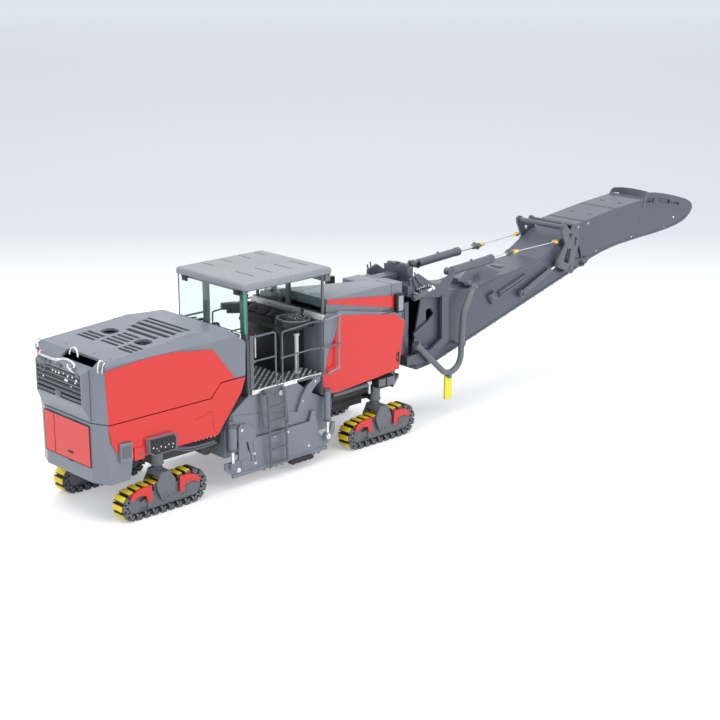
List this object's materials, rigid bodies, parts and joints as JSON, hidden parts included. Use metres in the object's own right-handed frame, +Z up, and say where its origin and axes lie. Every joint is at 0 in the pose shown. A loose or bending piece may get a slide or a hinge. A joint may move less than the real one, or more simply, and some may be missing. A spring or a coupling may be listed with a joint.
{
  "type": "die-cast scale model of a large cold planer (road milling machine)",
  "caption": "Die-cast model of a four-track cold planer with a milling drum, roofed operator's platform, lifting engine hood and a slewing, folding discharge conveyor.",
  "frame": {"origin": "on the ground plane under the middle of the model's overall length and width", "axes": "+X towards the nose of the discharge conveyor (direction of travel), +Y to the model's left, +Z up"},
  "size_m": [0.4208, 0.056, 0.0894],
  "materials": {
    "grey_paint": "satin",
    "red_paint": "satin",
    "dark_metal": "satin",
    "bright_metal": "polished",
    "black_plastic": "matte",
    "track_plastic": "matte",
    "black_rubber": "matte",
    "yellow_plastic": "gloss",
    "clear_glass": "clear"
  },
  "bodies": {
    "chassis": {"main_frame": "grey_paint", "lower_body": "grey_paint", "body_panels": "red_paint", "engine_block": "dark_metal", "platform": "grey_paint", "drum_housing": "grey_paint", "front_cover": "grey_paint", "front_panels": "red_paint", "primary_conveyor": "grey_paint", "canopy_roof": "grey_paint", "canopy_frame": "grey_paint", "canopy_glass": "clear_glass", "railings": "grey_paint", "ladders": "grey_paint", "console": "black_plastic", "seat": "black_plastic", "pods": "black_plastic", "side_lamps": "clear_glass", "plate_cylinders": "grey_paint", "slew_socket": "grey_paint"},
    "engine_hood": {"hood": "grey_paint", "hood_panels": "red_paint", "rear_grille": "black_plastic"},
    "drum": {"milling_drum": "dark_metal"},
    "side_plate_r": {"side_plate_right": "grey_paint"},
    "side_plate_l": {"side_plate_left": "grey_paint"},
    "slew": {"slew_frame": "grey_paint"},
    "discharge": {"main_conveyor": "grey_paint", "main_belt": "black_rubber", "fold_bracket": "grey_paint", "dust_hose": "black_rubber", "hose_tag": "yellow_plastic"},
    "nose": {"front_conveyor": "grey_paint", "front_belt": "black_rubber"},
    "unit_rear_right": {"crawler_rear_right": "track_plastic", "track_frame_rear_right": "dark_metal", "guards_rear_right": "red_paint"},
    "unit_rear_left": {"crawler_rear_left": "track_plastic", "track_frame_rear_left": "dark_metal", "guards_rear_left": "red_paint"},
    "unit_front_right": {"crawler_front_right": "track_plastic", "track_frame_front_right": "dark_metal", "guards_front_right": "red_paint"},
    "unit_front_left": {"crawler_front_left": "track_plastic", "track_frame_front_left": "dark_metal", "guards_front_left": "red_paint"},
    "lift_barrel_body_right": {"lift_barrel_right": "grey_paint"},
    "lift_rod_body_right": {"lift_rod_right": "bright_metal"},
    "fold_barrel_body_right": {"fold_barrel_right": "grey_paint"},
    "fold_rod_body_right": {"fold_rod_right": "bright_metal"},
    "lift_barrel_body_left": {"lift_barrel_left": "grey_paint"},
    "lift_rod_body_left": {"lift_rod_left": "bright_metal"},
    "fold_barrel_body_left": {"fold_barrel_left": "grey_paint"},
    "fold_rod_body_left": {"fold_rod_left": "bright_metal"}
  },
  "joints": [
    {"name": "hood_hinge", "type": "hinge", "parent": "chassis", "child": "engine_hood", "pos_m": [-0.13115, 0, 0.066], "axis": [0, 1, 0], "range_deg": [0, 35]},
    {"name": "drum_spin", "type": "hinge", "parent": "chassis", "child": "drum", "pos_m": [-0.11215, 0, 0.0126], "axis": [0, 1, 0], "continuous": true},
    {"name": "side_plate_lift_right", "type": "slide", "parent": "chassis", "child": "side_plate_r", "axis": [0, 0, 1], "range_m": [0, 0.005]},
    {"name": "side_plate_lift_left", "type": "slide", "parent": "chassis", "child": "side_plate_l", "axis": [0, 0, 1], "range_m": [0, 0.005]},
    {"name": "steer_rear_right", "type": "hinge", "parent": "chassis", "child": "unit_rear_right", "pos_m": [-0.17785, -0.0202, 0.018], "axis": [0, 0, 1], "range_deg": [-15, 15]},
    {"name": "steer_rear_left", "type": "hinge", "parent": "chassis", "child": "unit_rear_left", "pos_m": [-0.17785, 0.0202, 0.018], "axis": [0, 0, 1], "range_deg": [-15, 15]},
    {"name": "steer_front_right", "type": "hinge", "parent": "chassis", "child": "unit_front_right", "pos_m": [-0.05165, -0.0202, 0.018], "axis": [0, 0, 1], "range_deg": [-15, 15]},
    {"name": "steer_front_left", "type": "hinge", "parent": "chassis", "child": "unit_front_left", "pos_m": [-0.05165, 0.0202, 0.018], "axis": [0, 0, 1], "range_deg": [-15, 15]},
    {"name": "conveyor_slew", "type": "hinge", "parent": "chassis", "child": "slew", "pos_m": [-0.02315, 0, 0.05], "axis": [0, 0, 1], "range_deg": [-40, 40]},
    {"name": "conveyor_lift", "type": "hinge", "parent": "slew", "child": "discharge", "pos_m": [-0.01115, 0, 0.032], "axis": [0, -1, 0], "range_deg": [-8, 10]},
    {"name": "conveyor_fold", "type": "hinge", "parent": "discharge", "child": "nose", "pos_m": [0.10925, 0, 0.0588], "axis": [0, 1, 0], "range_deg": [0, 45]},
    {"name": "lift_cylinder_swing_right", "type": "hinge", "parent": "slew", "child": "lift_barrel_body_right", "pos_m": [0.00755, 0, 0.0705], "axis": [0, -1, 0], "range_deg": [-12.3, 15.3]},
    {"name": "lift_cylinder_stroke_right", "type": "slide", "parent": "lift_barrel_body_right", "child": "lift_rod_body_right", "axis": [0.9984, 0, 0.0561], "range_m": [-0.00653, 0.00526]},
    {"name": "fold_cylinder_swing_right", "type": "hinge", "parent": "discharge", "child": "fold_barrel_body_right", "pos_m": [0.05985, 0, 0.0508], "axis": [0, -1, 0], "range_deg": [-0.1, 13.2]},
    {"name": "fold_cylinder_stroke_right", "type": "slide", "parent": "fold_barrel_body_right", "child": "fold_rod_body_right", "axis": [0.9316, 0, 0.3634], "range_m": [-0.0002, 0.01333]},
    {"name": "lift_cylinder_swing_left", "type": "hinge", "parent": "slew", "child": "lift_barrel_body_left", "pos_m": [0.00755, 0, 0.0705], "axis": [0, -1, 0], "range_deg": [-12.3, 15.3]},
    {"name": "lift_cylinder_stroke_left", "type": "slide", "parent": "lift_barrel_body_left", "child": "lift_rod_body_left", "axis": [0.9984, 0, 0.0561], "range_m": [-0.00653, 0.00526]},
    {"name": "fold_cylinder_swing_left", "type": "hinge", "parent": "discharge", "child": "fold_barrel_body_left", "pos_m": [0.05985, 0, 0.0508], "axis": [0, -1, 0], "range_deg": [-0.1, 13.2]},
    {"name": "fold_cylinder_stroke_left", "type": "slide", "parent": "fold_barrel_body_left", "child": "fold_rod_body_left", "axis": [0.9316, 0, 0.3634], "range_m": [-0.0002, 0.01333]}
  ],
  "couplings": [
    {"joint": "lift_cylinder_swing_right", "follows": "conveyor_lift", "ratio": 1.5163},
    {"joint": "lift_cylinder_stroke_right", "follows": "conveyor_lift", "m_per_rad": -0.036274},
    {"joint": "fold_cylinder_swing_right", "follows": "conveyor_fold", "ratio": 0.29},
    {"joint": "fold_cylinder_stroke_right", "follows": "conveyor_fold", "m_per_rad": 0.016721},
    {"joint": "lift_cylinder_swing_left", "follows": "conveyor_lift", "ratio": 1.5163},
    {"joint": "lift_cylinder_stroke_left", "follows": "conveyor_lift", "m_per_rad": -0.036274},
    {"joint": "fold_cylinder_swing_left", "follows": "conveyor_fold", "ratio": 0.29},
    {"joint": "fold_cylinder_stroke_left", "follows": "conveyor_fold", "m_per_rad": 0.016721}
  ]
}
